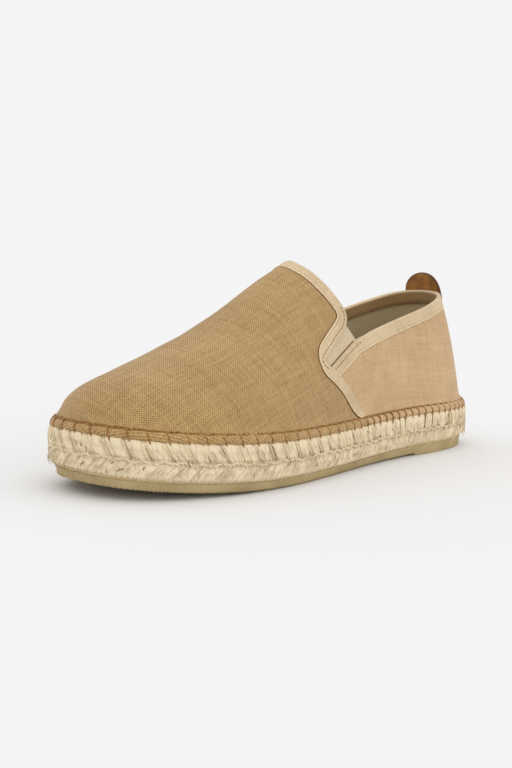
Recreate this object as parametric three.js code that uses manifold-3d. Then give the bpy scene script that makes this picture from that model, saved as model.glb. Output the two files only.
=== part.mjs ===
// A left espadrille: a canvas slip-on on a jute sole with a thin rubber outsole.
// Millimetres, +Z up, standing on z = 0. The toe points to -Y and the outer side of the foot to +X.

import * as THREE from "three";
import { mergeVertices } from "three/addons/utils/BufferGeometryUtils.js";
import Module from "manifold-3d";

const wasm = await Module();
wasm.setup();

// Driving sizes

const shoeLength = 285;
const rubberThick = 4.1;
const juteThick = 18.4;
const hemBand = 4.2; // height of the canvas that is turned over the jute's edge
const heelLift = 1.5; // how far the heel block raises the back of the rubber sheet
const heelBreast = 0.25; // where the heel block ends, as a share of the length
const toeSpring = 7.1;
const gap = 0.3; // between neighbouring pieces
const juteRound = 0.8; // the jute's edges are rounded off by this much
const juteBelly = 3; // over this height

const canvasWall = 1.8; // canvas and lining together
const elasticThick = 1.2;
const leatherThick = 1.8;
const insoleThick = 2.4;

const rubberInset = 3.4; // rubber edge, in from the jute edge
const rubberDraft = 0.9; // the tread face is this much smaller all round
const hemFootInset = 0.9; // lower edge of the hem, in from the jute edge
const hemTopInset = 3.1; // upper edge of the hem
const wallInset = 4.8; // side wall, once clear of the hem
const flareHeight = 5; // height over which the wall spreads to the hem
const insoleInset = wallInset + canvasWall + gap;

const ridgeShift = -6.5; // the instep ridge lies towards the inner side
const heelLean = 24; // how far the heel's top leans forwards, per leanHeight of height
const leanHeight = 60;
const leanReach = 0.35; // share of the length over which the lean fades out
const heelRoundness = 2.3; // power of the section's curve at the heel end
const foreRoundness = 1.75; // and from half the length to the toe

const collarFront = { at: 0.43, height: 66.5 }; // the quarter's front corner
const collarBack = 92; // height of the collar at the heel
const collarBend = 0.88;

const tab = { width: 25, above: 12, below: 9, topRound: 12, footRound: 5 };

// A row for each section, from the heel end to the toe end.
// at: share of the length. half: half width of the jute, or at both ends the radius of its outline.
// centre: sideways shift of the middle. crest: height of the ridge above the hem, or at the toe end
// the radius of its profile.
const sections = [
  { at: 0.0, half: 33.8, centre: 1.5, crest: 93 },
  { at: 0.15, half: 34.5, centre: -0.3, crest: 87 },
  { at: 0.28, half: 35.5, centre: -0.5, crest: 90.5 },
  { at: 0.42, half: 37.4, centre: 1.1, crest: 88 },
  { at: 0.55, half: 43.5, centre: 0.7, crest: 73 },
  { at: 0.66, half: 47.4, centre: 0.6, crest: 55.5 },
  { at: 0.78, half: 47, centre: 0, crest: 38.6 },
  { at: 0.89, half: 39.3, centre: -1.3, crest: 25.5 },
  { at: 1.0, half: 44.4, centre: -5.2, crest: 17 },
];

// Outline of the throat and of the side notches, seen from the side, from the quarter's front corner
// to above the ridge. back: distance from the heel end. up: height. cut: length of the rounded corner.
const throatLine = [
  { back: 152.5, up: 54.2, cut: 1.2 },
  { back: 157.2, up: 55.2, cut: 2.2 },
  { back: 131.6, up: 74.2, cut: 4 },
  { back: 129.2, up: 80.5, cut: 4 },
  { back: 137.5, up: 96.5, cut: 7 },
  { back: 143, up: 106, cut: 2 },
];

// Outline of an elastic gusset, seen from the side: its seam allowances lie behind the canvas.
const gussetLine = [
  { back: 124.5, up: 62.5, cut: 1 },
  { back: 158.5, up: 47.5, cut: 4 },
  { back: 165.5, up: 57.5, cut: 4 },
  { back: 135.5, up: 77.5, cut: 1 },
  { back: 131.5, up: 74.1, cut: 0.5 },
  { back: 127.6, up: 67.2, cut: 0.5 },
];

const stationCount = 44;
const wallSteps = 12;
const cutDepth = 200;
const half = shoeLength / 2;

// Smooth curves through the table's columns, over the turn from the heel end (0) to the toe end (PI)

function shareAt(turn) {
  return (1 - Math.cos(turn)) / 2;
}

function turnAt(share) {
  return Math.acos(1 - 2 * share);
}

const knots = sections.map((row) => turnAt(row.at));

function curveThrough(values) {
  const last = values.length - 1;
  const slopes = values.map((value, i) => {
    if (i === 0 || i === last) return 0;
    const before = knots[i] - knots[i - 1];
    const after = knots[i + 1] - knots[i];
    const slopeBefore = (value - values[i - 1]) / before;
    const slopeAfter = (values[i + 1] - value) / after;
    return (slopeBefore * after + slopeAfter * before) / (before + after);
  });
  return (turn) => {
    let i = 0;
    while (i < last - 1 && turn > knots[i + 1]) i += 1;
    const span = knots[i + 1] - knots[i];
    const t = (turn - knots[i]) / span;
    const rise = values[i + 1] - values[i];
    const bend = slopes[i] * span * (1 - t) - slopes[i + 1] * span * t;
    return values[i] + rise * t * t * (3 - 2 * t) + bend * t * (1 - t);
  };
}

function endRadius(radius) {
  return Math.sqrt(radius * half);
}

function isEnd(row) {
  return row.at === 0 || row.at === 1;
}

const fullness = curveThrough(
  sections.map((row) => (isEnd(row) ? endRadius(row.half) : row.half / Math.sin(turnAt(row.at)))),
);
const centreLine = curveThrough(sections.map((row) => row.centre));
const crestCurve = curveThrough(
  sections.map((row) => {
    if (row.at === 1) return endRadius(row.crest);
    return row.at > 0.5 ? row.crest / Math.sin(turnAt(row.at)) : row.crest;
  }),
);

function toeTaper(turn) {
  return turn > Math.PI / 2 ? Math.sin(turn) : 1;
}

function crestHeight(turn) {
  return crestCurve(turn) * toeTaper(turn);
}

function roundness(turn) {
  const towardsHeel = Math.max(0, 1 - shareAt(turn) / 0.5);
  return foreRoundness + (heelRoundness - foreRoundness) * towardsHeel;
}

// Underside of the rubber sheet, without the heel block: up at the heel, flat at the ball, up at the toe
function undersideHeight(share) {
  const waist = THREE.MathUtils.smoothstep(share, 0.2, 0.53);
  const toe = Math.max(0, (share - 0.62) / 0.38);
  return heelLift * (1 - waist) + toeSpring * toe * toe;
}

function treadHeight(share) {
  return share < heelBreast ? 0 : undersideHeight(share);
}

function juteFoot(share) {
  return undersideHeight(share) + rubberThick;
}

function hemFoot(share) {
  return juteFoot(share) + juteThick;
}

function hemTop(share) {
  return hemFoot(share) + hemBand;
}

// A layer of a sole piece: the jute outline moved in by the inset, at a height over the given surface.
// side is 1 outside, -1 inside
function soleLayer(inset, surface, over) {
  return (turn, side) => {
    const x = centreLine(turn) + side * Math.sin(turn) * (fullness(turn) - inset);
    const y = (half - inset) * Math.cos(turn);
    return [x, y, surface((half - y) / shoeLength) + over];
  };
}

// A point of the upper's outer face, moved out by the given distance; lift runs from 0 at the hem
// to PI / 2 on the ridge
function upperFace(turn, side, lift, out) {
  const power = 2 / roundness(turn);
  const across = Math.cos(lift) ** power;
  const rise = (crestHeight(turn) + out * toeTaper(turn)) * Math.sin(lift) ** power;
  const flare = (wallInset - hemTopInset) * Math.max(0, 1 - rise / flareHeight) ** 2;
  const inset = wallInset - flare - out;
  const width = Math.sin(turn) * (fullness(turn) - inset);
  const x = centreLine(turn) + side * width * across + ridgeShift * (1 - across) * Math.sin(turn);
  const travel = inset + (half - inset) * (1 - Math.cos(turn));
  const fade = Math.max(0, 1 - travel / shoeLength / leanReach) ** 2;
  const y = half - travel - heelLean * Math.min(2, rise / leanHeight) * fade;
  return [x, y, hemTop(travel / shoeLength) + rise];
}

// Closed bodies from layers: a layer gives the outer and the inner point at each station, and the
// two meet at the heel end and the toe end

const breastRun = 0.004;
const breastTurns = [heelBreast - breastRun, heelBreast, heelBreast + breastRun].map((share) =>
  Math.acos((half - share * shoeLength) / (half - rubberInset)),
);
const turns = [...breastTurns];
for (let i = 0; i <= stationCount; i += 1) turns.push((i / stationCount) * Math.PI);
turns.sort((a, b) => a - b);

function layeredBody(layers) {
  const positions = [];
  const corners = [];
  const rows = layers.map((layer) =>
    [1, -1].map((side) =>
      turns.map((turn) => {
        positions.push(...layer(turn, side));
        return positions.length / 3 - 1;
      }),
    ),
  );
  const quad = (a, b, c, d) => corners.push(a, b, c, a, c, d);
  for (let i = 0; i + 1 < turns.length; i += 1) {
    for (let k = 0; k + 1 < rows.length; k += 1) {
      const [outerLow, innerLow] = rows[k];
      const [outerHigh, innerHigh] = rows[k + 1];
      quad(outerLow[i], outerHigh[i], outerHigh[i + 1], outerLow[i + 1]);
      quad(innerLow[i], innerLow[i + 1], innerHigh[i + 1], innerHigh[i]);
    }
    const [outerFoot, innerFoot] = rows[0];
    const [outerTop, innerTop] = rows[rows.length - 1];
    quad(outerFoot[i], outerFoot[i + 1], innerFoot[i + 1], innerFoot[i]);
    quad(outerTop[i], innerTop[i], innerTop[i + 1], outerTop[i + 1]);
  }
  const geometry = new THREE.BufferGeometry();
  geometry.setAttribute("position", new THREE.Float32BufferAttribute(positions, 3));
  geometry.setIndex(corners);
  return geometry;
}

// Solids for the boolean cuts

function toSolid(geometry) {
  const bare = geometry.clone();
  bare.deleteAttribute("normal");
  bare.deleteAttribute("uv");
  const merged = mergeVertices(bare, 1e-4);
  const index = merged.index.array;
  const kept = [];
  for (let i = 0; i < index.length; i += 3) {
    const [a, b, c] = [index[i], index[i + 1], index[i + 2]];
    if (a !== b && b !== c && c !== a) kept.push(a, b, c);
  }
  const mesh = new wasm.Mesh({
    numProp: 3,
    vertProperties: new Float32Array(merged.attributes.position.array),
    triVerts: new Uint32Array(kept),
  });
  return new wasm.Manifold(mesh);
}

function toGeometry(solid) {
  const mesh = solid.getMesh();
  const geometry = new THREE.BufferGeometry();
  geometry.setAttribute("position", new THREE.BufferAttribute(mesh.vertProperties, 3));
  geometry.setIndex(new THREE.BufferAttribute(mesh.triVerts, 1));
  const faceted = geometry.toNonIndexed();
  faceted.computeVertexNormals();
  return faceted;
}

function roundedShape(points) {
  const shape = new THREE.Shape();
  points.forEach((point, i) => {
    const before = points[(i + points.length - 1) % points.length];
    const after = points[(i + 1) % points.length];
    const here = new THREE.Vector2(point.across, point.up);
    const back = new THREE.Vector2(before.across, before.up).sub(here).setLength(point.cut || 0.01);
    const ahead = new THREE.Vector2(after.across, after.up).sub(here).setLength(point.cut || 0.01);
    const start = here.clone().add(back);
    const end = here.clone().add(ahead);
    if (i === 0) shape.moveTo(start.x, start.y);
    else shape.lineTo(start.x, start.y);
    if (point.cut) shape.quadraticCurveTo(here.x, here.y, end.x, end.y);
  });
  shape.closePath();
  return shape;
}

function extruded(points, steps) {
  const options = { depth: cutDepth, bevelEnabled: false, curveSegments: steps };
  return new THREE.ExtrudeGeometry(roundedShape(points), options);
}

// A side view outline, swept right across the shoe or from the middle to one side
function acrossShoe(points, from) {
  const geometry = extruded(points, 5);
  geometry.applyMatrix4(new THREE.Matrix4().set(0, 0, 1, from, 1, 0, 0, 0, 0, 1, 0, 0, 0, 0, 0, 1));
  return toSolid(geometry);
}

// A back view outline, swept from the middle of the shoe to beyond the heel
function behindHeel(points) {
  const geometry = extruded(points, 8);
  geometry.rotateX(Math.PI / 2);
  geometry.translate(0, cutDepth + half / 2, 0);
  return toSolid(geometry);
}

function sidePoints(line) {
  return line.map((row) => ({ across: half - row.back, up: row.up, cut: row.cut }));
}

// Upper: the outer form less the inner form, then the collar, throat and notches cut through it

const wallLifts = [0, 0.05];
for (let i = 1; i <= wallSteps; i += 1) wallLifts.push((i / wallSteps) * (Math.PI / 2));

function wallLayers(out) {
  return wallLifts.map((lift) => (turn, side) => upperFace(turn, side, lift, out));
}

function formBody(out) {
  return toSolid(layeredBody(wallLayers(out)));
}

function outerForm() {
  return toSolid(layeredBody([soleLayer(hemFootInset, hemFoot, 0), ...wallLayers(0)]));
}

function innerForm() {
  const lowInset = hemFootInset + canvasWall;
  const feet = [soleLayer(lowInset, hemFoot, -1), soleLayer(lowInset, hemFoot, 0)];
  return toSolid(layeredBody([...feet, ...wallLayers(-canvasWall)]));
}

function collarHeight(share) {
  const towardsHeel = Math.max(0, (collarFront.at - share) / collarFront.at);
  return collarFront.height + (collarBack - collarFront.height) * towardsHeel ** collarBend;
}

function collarPoint(turn) {
  const up = collarHeight(shareAt(turn));
  const travel = wallInset + (half - wallInset) * (1 - Math.cos(turn));
  const rise = up - hemTop(travel / shoeLength);
  const fade = Math.max(0, 1 - travel / shoeLength / leanReach) ** 2;
  return { across: half - travel - (heelLean * rise * fade) / leanHeight, up };
}

function openingCut() {
  const collarSteps = 14;
  const frontTurn = turnAt(collarFront.at);
  const collar = Array.from({ length: collarSteps + 1 }, (_, i) => collarPoint((i / collarSteps) * frontTurn));
  collar[collarSteps].cut = 2.5;
  const throat = sidePoints(throatLine);
  const clearTop = 150;
  const outline = [
    { across: half + 20, up: collarBack + 1 },
    ...collar,
    ...throat,
    { across: throat[throat.length - 1].across - 4, up: clearTop },
    { across: half + 20, up: clearTop },
  ];
  return acrossShoe(outline, -cutDepth / 2);
}

const upperSolid = outerForm().subtract(innerForm()).subtract(openingCut());

// Elastic gussets: a thin skin inside the upper, cut to the gusset's outline on each side

function gussetSolid(side) {
  const out = -(canvasWall + gap);
  const skin = formBody(out).subtract(formBody(out - elasticThick));
  return skin.intersect(acrossShoe(sidePoints(gussetLine), side > 0 ? 0 : -cutDepth));
}

// Pull tab: a skin outside the heel, cut to the tab's outline

function pullTabSolid() {
  const skin = formBody(gap + leatherThick).subtract(formBody(gap));
  const low = collarBack - tab.below;
  const high = collarBack + tab.above;
  const side = tab.width / 2;
  const middle = centreLine(0);
  const outline = [
    { across: middle - side, up: low, cut: tab.footRound },
    { across: middle + side, up: low, cut: tab.footRound },
    { across: middle + side, up: high, cut: tab.topRound },
    { across: middle - side, up: high, cut: tab.topRound },
  ];
  return skin.intersect(behindHeel(outline));
}

// Sole pieces

function midsoleBody() {
  const stepInset = hemFootInset + canvasWall + gap;
  const coreInset = hemTopInset + canvasWall + gap;
  return layeredBody([
    soleLayer(juteRound, juteFoot, gap),
    soleLayer(0, juteFoot, gap + juteBelly),
    soleLayer(0, hemFoot, -gap - juteBelly),
    soleLayer(juteRound, hemFoot, -gap),
    soleLayer(stepInset, hemFoot, -gap),
    soleLayer(coreInset, hemTop, -gap),
  ]);
}

function outsoleBody() {
  const tread = soleLayer(rubberInset + rubberDraft, treadHeight, 0);
  return layeredBody([tread, soleLayer(rubberInset, juteFoot, 0)]);
}

function insoleBody() {
  return layeredBody([soleLayer(insoleInset, hemTop, 0), soleLayer(insoleInset, hemTop, insoleThick)]);
}

// Finishes and assembly

function finish(color, roughness) {
  return new THREE.MeshStandardMaterial({ color, roughness, metalness: 0 });
}

const canvas = finish(0xc09d6b, 0.9);
const jute = finish(0xe0cca5, 0.95);
const rubber = finish(0xa89262, 0.75);
const elastic = finish(0xbdaf90, 0.85);
const leather = finish(0x80501f, 0.55);
const sock = finish(0xb3a68c, 0.95);

const shoe = new THREE.Group();

function addPiece(name, geometry, material) {
  const mesh = new THREE.Mesh(geometry, material);
  mesh.name = name;
  shoe.add(mesh);
}

addPiece("outsole", toGeometry(toSolid(outsoleBody())), rubber);
addPiece("midsole", toGeometry(toSolid(midsoleBody())), jute);
addPiece("insole", toGeometry(toSolid(insoleBody())), sock);
addPiece("upper", toGeometry(upperSolid), canvas);
addPiece("gusset_outer", toGeometry(gussetSolid(1)), elastic);
addPiece("gusset_inner", toGeometry(gussetSolid(-1)), elastic);
addPiece("pull_tab", toGeometry(pullTabSolid()), leather);

const bounds = new THREE.Box3().setFromObject(shoe);
const middle = bounds.getCenter(new THREE.Vector3());
shoe.position.set(-middle.x, -middle.y, -bounds.min.z);

const group = new THREE.Group();
group.add(shoe);

export default group;
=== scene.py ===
import math
import random

import bmesh
import bpy
import numpy as np
from mathutils import Euler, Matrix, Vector
from mathutils.bvhtree import BVHTree


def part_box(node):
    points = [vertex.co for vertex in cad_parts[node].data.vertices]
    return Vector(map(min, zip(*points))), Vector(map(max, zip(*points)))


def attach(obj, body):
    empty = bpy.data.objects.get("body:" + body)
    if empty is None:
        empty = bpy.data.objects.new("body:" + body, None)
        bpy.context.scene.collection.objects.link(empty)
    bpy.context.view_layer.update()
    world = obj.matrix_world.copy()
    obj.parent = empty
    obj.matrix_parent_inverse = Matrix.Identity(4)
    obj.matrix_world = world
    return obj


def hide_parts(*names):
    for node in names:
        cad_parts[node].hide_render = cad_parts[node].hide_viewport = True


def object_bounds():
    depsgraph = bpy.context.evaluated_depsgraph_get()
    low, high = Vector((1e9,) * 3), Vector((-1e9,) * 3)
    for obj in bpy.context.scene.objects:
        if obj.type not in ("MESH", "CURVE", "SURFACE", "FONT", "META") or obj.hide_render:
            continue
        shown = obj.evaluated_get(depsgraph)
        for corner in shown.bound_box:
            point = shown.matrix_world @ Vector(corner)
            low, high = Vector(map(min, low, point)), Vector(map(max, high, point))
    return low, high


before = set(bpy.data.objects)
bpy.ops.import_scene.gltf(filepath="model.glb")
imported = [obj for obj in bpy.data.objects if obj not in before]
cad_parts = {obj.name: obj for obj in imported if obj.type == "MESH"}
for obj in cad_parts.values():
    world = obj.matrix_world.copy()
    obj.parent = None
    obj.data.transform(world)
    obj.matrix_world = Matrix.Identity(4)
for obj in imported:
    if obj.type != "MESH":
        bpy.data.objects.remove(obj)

cadBox = [list(corner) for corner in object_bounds()]
millimetre = 0.001

# Lengths below are in millimetres until a mesh is made. The toe points to -Y, the outer side to +X.

shoe = {
    "length": (cadBox[1][1] - cadBox[0][1]) / millimetre,
    "rubberThick": 4.1,
    "juteThick": 18.4,
    "hemBand": 4.2,
    "heelLift": 1.5,
    "heelBreast": 0.25,
    "toeSpring": 7.1,
    "hemTopInset": 3.1,
    "wallInset": 4.8,
    "flareHeight": 5,
    "ridgeShift": -6.5,
    "heelLean": 24,
    "leanHeight": 60,
    "leanReach": 0.35,
    "heelRoundness": 2.3,
    "foreRoundness": 1.75,
}

# place along the length, half width, sideways shift, crest height over the hem; the end rows hold radii
sections = [
    (0.0, 33.8, 1.5, 93),
    (0.15, 34.5, -0.3, 87),
    (0.28, 35.5, -0.5, 90.5),
    (0.42, 37.4, 1.1, 88),
    (0.55, 43.5, 0.7, 73),
    (0.66, 47.4, 0.6, 55.5),
    (0.78, 47, 0, 38.6),
    (0.89, 39.3, -1.3, 25.5),
    (1.0, 44.4, -5.2, 17),
]

collar = {"frontAt": 0.43, "frontHeight": 66.5, "backHeight": 92, "bend": 0.88}

half = shoe["length"] / 2
knots = np.arccos(1 - 2 * np.array([row[0] for row in sections]))


# The last's own curves

def curveThrough(values):
    values = np.asarray(values, float)
    span = np.diff(knots)
    steep = np.diff(values) / span
    slopes = np.zeros_like(values)
    slopes[1:-1] = (steep[:-1] * span[1:] + steep[1:] * span[:-1]) / (span[:-1] + span[1:])

    def curve(turn):
        turn = np.asarray(turn, float)
        i = np.clip(np.searchsorted(knots, turn, side="right") - 1, 0, len(span) - 1)
        t = (turn - knots[i]) / span[i]
        rise = values[i + 1] - values[i]
        bend = slopes[i] * span[i] * (1 - t) - slopes[i + 1] * span[i] * t
        return values[i] + rise * t * t * (3 - 2 * t) + bend * t * (1 - t)

    return curve


def endRadius(radius):
    return math.sqrt(radius * half)


def fullnessKnots():
    inner = [row[1] / math.sin(turn) for row, turn in zip(sections[1:-1], knots[1:-1])]
    return [endRadius(sections[0][1]), *inner, endRadius(sections[-1][1])]


def crestKnots():
    rows = list(zip(sections[:-1], knots[:-1]))
    values = [row[3] / math.sin(turn) if row[0] > 0.5 else row[3] for row, turn in rows]
    return [*values, endRadius(sections[-1][3])]


fullness = curveThrough(fullnessKnots())
centreLine = curveThrough([row[2] for row in sections])
crestCurve = curveThrough(crestKnots())


def smoothRamp(x, low, high):
    t = np.clip((x - low) / (high - low), 0, 1)
    return t * t * (3 - 2 * t)


def toeTaper(turn):
    return np.where(turn > math.pi / 2, np.sin(turn), 1.0)


def roundnessAt(turn):
    share = (1 - np.cos(turn)) / 2
    spread = shoe["heelRoundness"] - shoe["foreRoundness"]
    return shoe["foreRoundness"] + spread * np.clip(1 - share / 0.5, 0, 1)


def underside(share):
    waist = smoothRamp(share, 0.2, 0.53)
    toe = np.clip((share - 0.62) / 0.38, 0, None)
    return shoe["heelLift"] * (1 - waist) + shoe["toeSpring"] * toe * toe


def juteFoot(share):
    return underside(share) + shoe["rubberThick"]


def hemFoot(share):
    return juteFoot(share) + shoe["juteThick"]


def hemTop(share):
    return hemFoot(share) + shoe["hemBand"]


def soleEdge(turn, side, inset, surface, over=0.0):
    turn = np.asarray(turn, float)
    x = centreLine(turn) + side * np.sin(turn) * (fullness(turn) - inset)
    y = (half - inset) * np.cos(turn)
    z = surface((half - y) / shoe["length"]) + over
    return np.stack(np.broadcast_arrays(x, y, z), -1)


def leanFade(travel):
    return np.clip(1 - travel / shoe["length"] / shoe["leanReach"], 0, 1) ** 2


def upperFace(turn, wrap, out):
    # wrap runs from 0 at the outer hem over the ridge to PI at the inner hem
    turn = np.asarray(turn, float)
    side = np.where(wrap <= math.pi / 2, 1.0, -1.0)
    lift = np.where(wrap <= math.pi / 2, wrap, math.pi - wrap)
    power = 2 / roundnessAt(turn)
    across = np.clip(np.cos(lift), 0, 1) ** power
    crest = crestCurve(turn) * toeTaper(turn) + out * toeTaper(turn)
    rise = crest * np.clip(np.sin(lift), 0, 1) ** power
    spread = shoe["wallInset"] - shoe["hemTopInset"]
    flare = spread * np.clip(1 - rise / shoe["flareHeight"], 0, 1) ** 2
    inset = shoe["wallInset"] - flare - out
    width = np.sin(turn) * (fullness(turn) - inset)
    x = centreLine(turn) + side * width * across + shoe["ridgeShift"] * (1 - across) * np.sin(turn)
    travel = inset + (half - inset) * (1 - np.cos(turn))
    y = half - travel - shoe["heelLean"] * np.clip(rise / shoe["leanHeight"], 0, 2) * leanFade(travel)
    z = hemTop(travel / shoe["length"]) + rise
    return np.stack(np.broadcast_arrays(x, y, z), -1)


# the shoe is centred on its box, so the curves move sideways to match the midsole's box
denseTurns = np.linspace(0, math.pi, 721)
ownEdges = np.concatenate([soleEdge(denseTurns, side, 0, juteFoot)[:, 0] for side in (1, -1)])
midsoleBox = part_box("midsole")
sideways = (midsoleBox[0].x + midsoleBox[1].x) / 2 / millimetre - (ownEdges.min() + ownEdges.max()) / 2


def inMetres(points):
    return (np.asarray(points, float) + np.array([sideways, 0, 0])) * millimetre


# Meshes

def makeObject(name, points, faces, material, uvs=None):
    mesh = bpy.data.meshes.new(name)
    mesh.from_pydata([tuple(p) for p in inMetres(points)], [], [tuple(int(i) for i in f) for f in faces])
    mesh.validate()
    if uvs is not None:
        layer = mesh.uv_layers.new(name="weave")
        corner = np.zeros(len(mesh.loops), np.int32)
        mesh.loops.foreach_get("vertex_index", corner)
        layer.data.foreach_set("uv", np.asarray(uvs, np.float32)[corner].ravel())
    mesh.polygons.foreach_set("use_smooth", [True] * len(mesh.polygons))
    mesh.materials.append(material)
    mesh.update()
    piece = bpy.data.objects.new(name, mesh)
    bpy.context.scene.collection.objects.link(piece)
    return piece


def gridFaces(rows, columns, closeColumns=False):
    faces = []
    for i in range(rows - 1):
        for j in range(columns if closeColumns else columns - 1):
            a, b = i * columns, (i + 1) * columns
            c, d = j, (j + 1) % columns
            faces.append((a + c, b + c, b + d, a + d))
    return faces


def cutMesh(points, faces, field):
    # keeps what has field > 0; points may carry more columns, which are blended at the cut
    points = [np.asarray(p, float) for p in points]
    cache = {}
    kept = []

    def between(a, b):
        key = (min(a, b), max(a, b))
        if key not in cache:
            t = field[a] / (field[a] - field[b])
            cache[key] = len(points)
            points.append(points[a] + (points[b] - points[a]) * t)
        return cache[key]

    for face in faces:
        inside = [field[i] > 0 for i in face]
        if all(inside):
            kept.append(list(face))
            continue
        if not any(inside):
            continue
        ring = []
        for k, a in enumerate(face):
            b = face[(k + 1) % len(face)]
            if field[a] > 0:
                ring.append(a)
            if (field[a] > 0) != (field[b] > 0):
                ring.append(between(a, b))
        if len(ring) > 2:
            kept.append(ring)
    used = sorted({i for face in kept for i in face})
    place = {old: new for new, old in enumerate(used)}
    return np.array([points[i] for i in used]), [[place[i] for i in face] for face in kept]


def sideField(points, outline):
    # signed distance to a closed outline in the side view; outline rows are (back, up), inside is positive
    corner = np.array([(half - back, up) for back, up in outline])
    place = np.asarray(points)[:, 1:3]
    nearest = np.full(len(place), 1e9)
    inside = np.zeros(len(place), bool)
    for a, b in zip(corner, np.roll(corner, -1, axis=0)):
        run = b - a
        t = np.clip(((place - a) @ run) / max(run @ run, 1e-12), 0, 1)
        nearest = np.minimum(nearest, np.linalg.norm(place - (a + t[:, None] * run), axis=1))
        crosses = (a[1] > place[:, 1]) != (b[1] > place[:, 1])
        reach = a[0] + (place[:, 1] - a[1]) / (b[1] - a[1] if b[1] != a[1] else 1e-9) * run[0]
        inside ^= crosses & (place[:, 0] < reach)
    return np.where(inside, nearest, -nearest)


def roundedLine(rows, steps=7):
    # rows are (back, up, cut): the corner is swapped for a curve that starts and ends cut away from it
    line = []
    for i, (back, up, cut) in enumerate(rows):
        here = np.array([back, up])
        if cut == 0 or i in (0, len(rows) - 1):
            line.append(here)
            continue
        before = np.array(rows[i - 1][:2]) - here
        after = np.array(rows[i + 1][:2]) - here
        start = here + before / np.linalg.norm(before) * cut
        end = here + after / np.linalg.norm(after) * cut
        for t in np.linspace(0, 1, steps):
            line.append((1 - t) ** 2 * start + 2 * t * (1 - t) * here + t * t * end)
    return np.array(line)


def lengthsAlong(points):
    return np.concatenate([[0], np.cumsum(np.linalg.norm(np.diff(points, axis=0), axis=1))])


def evenly(points, step):
    along = lengthsAlong(points)
    count = max(2, int(round(along[-1] / step)) + 1)
    want = np.linspace(0, along[-1], count)
    return np.stack([np.interp(want, along, points[:, k]) for k in range(points.shape[1])], 1)


def softened(points, rounds):
    points = points.copy()
    for _ in range(rounds):
        points[1:-1] = (points[:-2] + 2 * points[1:-1] + points[2:]) / 4
    return points


# Round the edge of the sole: a place p along the outline, heel to toe outside and back inside

outlineTurns = np.concatenate([denseTurns, 2 * math.pi - denseTurns[::-1][1:]])
outlineSides = np.where(outlineTurns <= math.pi, 1.0, -1.0)
outlineHalf = np.where(outlineTurns <= math.pi, outlineTurns, 2 * math.pi - outlineTurns)
outlineAlong = lengthsAlong(soleEdge(outlineHalf, outlineSides, 0, juteFoot)[:, :2])
girth = outlineAlong[-1]


def rimPoint(place, inset, surface):
    around = np.interp(np.mod(place, girth), outlineAlong, outlineTurns)
    side = np.where(around <= math.pi, 1.0, -1.0)
    turn = np.where(around <= math.pi, around, 2 * math.pi - around)
    return soleEdge(turn, side, inset, surface)


def rimPlace(turn, wrap):
    around = np.where(wrap <= math.pi / 2, turn, 2 * math.pi - turn)
    return np.interp(around, outlineTurns, outlineAlong)


# Hem stitches: wide round the forefoot, close round the heel

hem = {"widePitch": 9.0, "closePitch": 6.5, "closeUntil": 0.42, "wideFrom": 0.6, "threadSides": 8}


def pitchAt(place):
    share = (half - rimPoint(place, 0, juteFoot)[..., 1]) / shoe["length"]
    return hem["closePitch"] + (hem["widePitch"] - hem["closePitch"]) * smoothRamp(
        share, hem["closeUntil"], hem["wideFrom"])


rimSteps = np.linspace(0, girth, 4001)
stitchCount = int(round(np.sum(np.diff(rimSteps) / pitchAt(rimSteps[:-1]))))
stitchPhase = np.concatenate([[0], np.cumsum(np.diff(rimSteps) / pitchAt(rimSteps[:-1]))])
stitchPhase *= stitchCount / stitchPhase[-1]


def phaseAt(place):
    return np.interp(np.mod(place, girth), rimSteps, stitchPhase)


def placeAt(phase):
    return np.interp(np.mod(phase, stitchCount), stitchPhase, rimSteps)


def betweenStitches(place):
    return np.abs(np.sin(math.pi * phaseAt(place)))


# Materials

def makeMaterial(name, roughness=0.9):
    material = bpy.data.materials.new(name)
    material.use_nodes = True
    shader = material.node_tree.nodes["Principled BSDF"]
    shader.inputs["Roughness"].default_value = roughness
    shader.inputs["Specular IOR Level"].default_value = 0.25
    return material, material.node_tree, shader


def addNode(tree, kind, settings=None, **links):
    node = tree.nodes.new(kind)
    for key, value in (settings or {}).items():
        setattr(node, key, value)
    for key, value in links.items():
        socket = node.inputs[int(key[1:])] if key[0] == "i" and key[1:].isdigit() else node.inputs[key]
        if isinstance(value, bpy.types.NodeSocket):
            tree.links.new(value, socket)
        else:
            socket.default_value = value
    return node


def mathNode(tree, operation, a, b=0.0, c=0.0):
    return addNode(tree, "ShaderNodeMath", {"operation": operation}, i0=a, i1=b, i2=c).outputs[0]


def addBump(tree, shader, strength, distance, height):
    bump = addNode(tree, "ShaderNodeBump", None, Strength=strength, Distance=distance, Height=height)
    tree.links.new(bump.outputs[0], shader.inputs["Normal"])


def rampNode(tree, factor, stops):
    node = addNode(tree, "ShaderNodeValToRGB", None, i0=factor)
    ramp = node.color_ramp
    while len(ramp.elements) < len(stops):
        ramp.elements.new(0.5)
    for element, (place, color) in zip(ramp.elements, stops):
        element.position = place
        element.color = (*color, 1)
    return node.outputs[0]


def mixColor(tree, factor, a, b):
    node = addNode(tree, "ShaderNodeMix", {"data_type": "RGBA"})
    sockets = (node.inputs[0], node.inputs[6], node.inputs[7])
    for socket, value in zip(sockets, (factor, a, b)):
        if isinstance(value, bpy.types.NodeSocket):
            tree.links.new(value, socket)
        else:
            socket.default_value = value if not isinstance(value, tuple) else (*value, 1)
    return node.outputs[2]


def scaledNoise(tree, vector, scale, size, detail=2.0, rough=0.5):
    mapping = addNode(tree, "ShaderNodeMapping", None, Vector=vector, Scale=scale)
    noise = addNode(tree, "ShaderNodeTexNoise", None, Vector=mapping.outputs[0], Scale=size, Detail=detail,
                    Roughness=rough)
    return noise.outputs["Fac"]


def srgb(r, g, b):
    return tuple(((c / 255 + 0.055) / 1.055) ** 2.4 if c > 10 else c / 255 / 12.92 for c in (r, g, b))


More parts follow.
